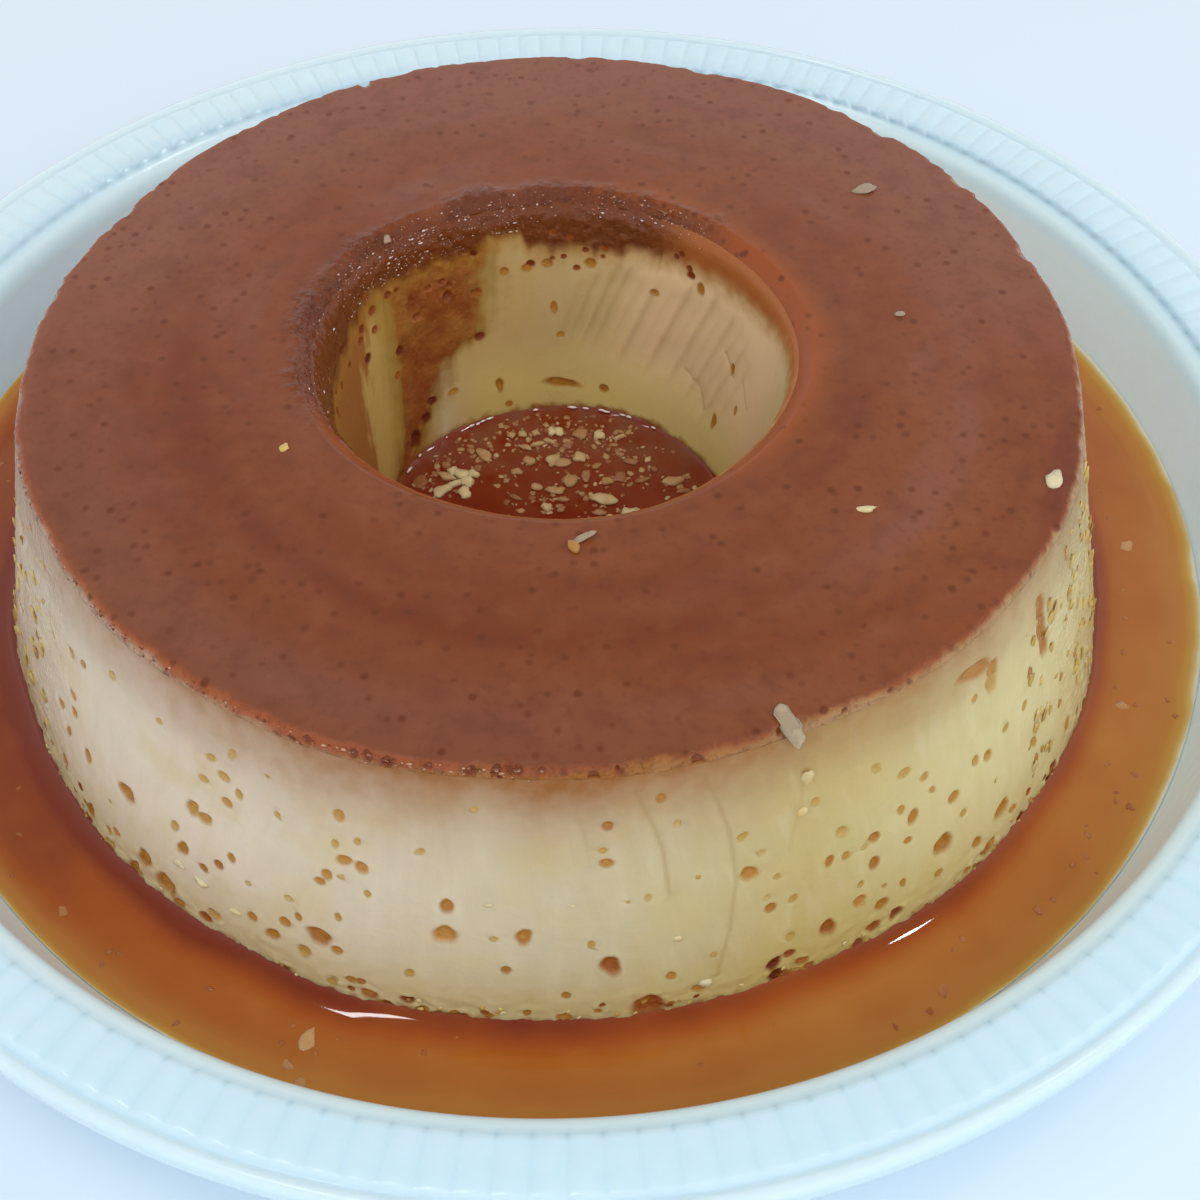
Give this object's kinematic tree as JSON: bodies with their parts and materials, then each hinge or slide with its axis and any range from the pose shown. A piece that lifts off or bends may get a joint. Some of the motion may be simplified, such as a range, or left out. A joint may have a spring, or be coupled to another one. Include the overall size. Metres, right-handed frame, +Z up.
{
  "type": "leche flan on a plate",
  "caption": "Ring-shaped leche flan with a caramel-soaked top, turned out on a round fluted plastic plate, standing in a pool of its own caramel syrup.",
  "frame": {"origin": "centre of the plate's flat underside, where it stands on the table", "axes": "+Z up along the plate's axis, -Y is the front of the flan"},
  "size_m": [0.2778, 0.2778, 0.0566],
  "materials": {
    "plate_plastic": "thin moulded polystyrene, glossy, pale bluish white",
    "custard": "set egg and milk custard, satin moist, cream, with amber-filled bubble holes",
    "caramel_top": "custard soaked with caramel, satin brown with fine dark pores",
    "syrup": "clear amber-brown caramel syrup, wet gloss"
  },
  "bodies": {
    "root": {"plate": "plate_plastic", "custard": "custard", "caramel_top": "caramel_top", "syrup_pool": "syrup", "syrup_in_hole": "syrup"}
  },
  "joints": []
}
